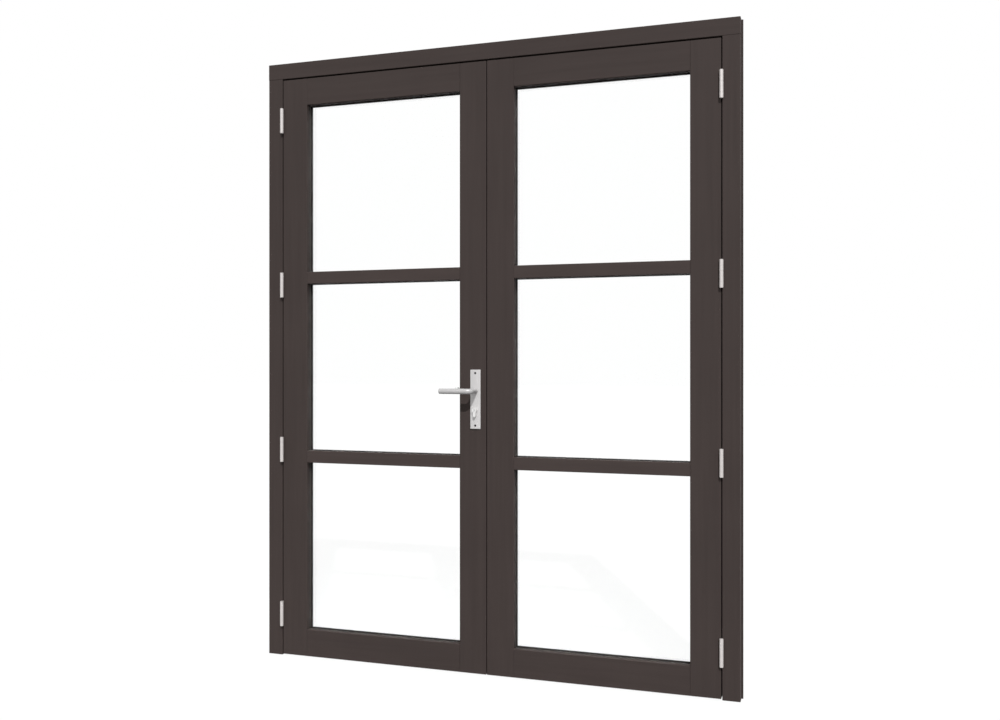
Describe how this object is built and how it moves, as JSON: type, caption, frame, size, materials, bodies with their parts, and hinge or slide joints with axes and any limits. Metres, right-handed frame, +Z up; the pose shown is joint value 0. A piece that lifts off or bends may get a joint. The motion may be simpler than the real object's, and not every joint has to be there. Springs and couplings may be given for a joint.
{
  "type": "french doors",
  "caption": "Pair of outward-opening glazed timber doors with horizontal glazing bars, hung on butt hinges in a frame, with a lever lock.",
  "frame": {"origin": "midway between the jambs, at their feet, in the middle plane of the closed leaves", "axes": "+X to the right as seen from outside, +Y into the house, +Z up"},
  "size_m": [1.812, 0.194, 2.3],
  "materials": {
    "frame_timber": "dark grey satin paint",
    "leaf_timber": "dark grey satin paint",
    "glass": "clear polished",
    "spacer": "matt",
    "gasket": "matt black",
    "hinge_steel": "satin",
    "furniture": "satin anodised",
    "screw_steel": "satin",
    "cylinder_metal": "satin nickel plate",
    "lock_steel": "satin"
  },
  "bodies": {
    "frame": {"head": "frame_timber", "left_jamb": "frame_timber", "right_jamb": "frame_timber", "head_stop": "frame_timber", "left_stop": "frame_timber", "right_stop": "frame_timber", "frame_gasket": "gasket", "hinge_pins": "hinge_steel", "bolt_keep": "lock_steel", "left_hinge_frame_halves": "hinge_steel", "right_hinge_frame_halves": "hinge_steel"},
    "left_leaf": {"cylinder_body": "cylinder_metal", "inner_plate": "furniture", "left_bottom_rail": "leaf_timber", "left_glass_spacers": "spacer", "left_glazing_beads": "leaf_timber", "left_glazing_gaskets": "gasket", "left_hinge_1_leaf_half": "hinge_steel", "left_hinge_2_leaf_half": "hinge_steel", "left_hinge_3_leaf_half": "hinge_steel", "left_hinge_4_leaf_half": "hinge_steel", "left_hinge_stile": "leaf_timber", "left_lower_bar": "leaf_timber", "left_lower_glass": "glass", "left_meeting_stile": "leaf_timber", "left_middle_glass": "glass", "left_top_rail": "leaf_timber", "left_upper_bar": "leaf_timber", "left_upper_glass": "glass", "lock_case": "lock_steel", "outer_plate": "furniture", "plate_screws": "screw_steel"},
    "right_leaf": {"lower_bolt_housing": "lock_steel", "meeting_seal": "gasket", "right_bottom_rail": "leaf_timber", "right_glass_spacers": "spacer", "right_glazing_beads": "leaf_timber", "right_glazing_gaskets": "gasket", "right_hinge_1_leaf_half": "hinge_steel", "right_hinge_2_leaf_half": "hinge_steel", "right_hinge_3_leaf_half": "hinge_steel", "right_hinge_4_leaf_half": "hinge_steel", "right_hinge_stile": "leaf_timber", "right_lower_bar": "leaf_timber", "right_lower_glass": "glass", "right_meeting_stile": "leaf_timber", "right_middle_glass": "glass", "right_top_rail": "leaf_timber", "right_upper_bar": "leaf_timber", "right_upper_glass": "glass", "strike_plate": "lock_steel", "upper_bolt_housing": "lock_steel"},
    "handle": {"outer_lever": "furniture", "inner_lever": "furniture", "spindle": "lock_steel"},
    "latch": {"latch_bolt": "lock_steel"},
    "dead_bolt": {"dead_bolt": "lock_steel"},
    "plug": {"cylinder_plug": "cylinder_metal"},
    "upper_bolt": {"upper_flush_bolt": "lock_steel"},
    "lower_bolt": {"lower_flush_bolt": "lock_steel"}
  },
  "joints": [
    {"name": "left_leaf_hinge", "type": "hinge", "parent": "frame", "child": "left_leaf", "pos_m": [-0.83825, -0.035, 1.119], "axis": [0, 0, -1], "range_deg": [0, 170]},
    {"name": "right_leaf_hinge", "type": "hinge", "parent": "frame", "child": "right_leaf", "pos_m": [0.83825, -0.035, 1.119], "axis": [0, 0, 1], "range_deg": [0, 170]},
    {"name": "handle_turn", "type": "hinge", "parent": "left_leaf", "child": "handle", "pos_m": [-0.0415, 0, 1.034], "axis": [0, -1, 0], "range_deg": [0, 40], "stiffness_Nm_per_rad": 1.5, "springref_deg": -14.32},
    {"name": "latch_slide", "type": "slide", "parent": "left_leaf", "child": "latch", "axis": [-1, 0, 0], "range_m": [0, 0.012]},
    {"name": "plug_turn", "type": "hinge", "parent": "left_leaf", "child": "plug", "pos_m": [-0.0415, 0, 0.964], "axis": [0, 1, 0], "range_deg": [0, 350]},
    {"name": "dead_bolt_slide", "type": "slide", "parent": "left_leaf", "child": "dead_bolt", "axis": [1, 0, 0], "range_m": [0, 0.02]},
    {"name": "upper_bolt_slide", "type": "slide", "parent": "right_leaf", "child": "upper_bolt", "axis": [0, 0, 1], "range_m": [0, 0.015]},
    {"name": "lower_bolt_slide", "type": "slide", "parent": "right_leaf", "child": "lower_bolt", "axis": [0, 0, -1], "range_m": [0, 0.015]}
  ],
  "couplings": [
    {"joint": "latch_slide", "follows": "handle_turn", "m_per_rad": 0.01718},
    {"joint": "plug_turn", "follows": "dead_bolt_slide", "rad_per_m": 305.4}
  ]
}
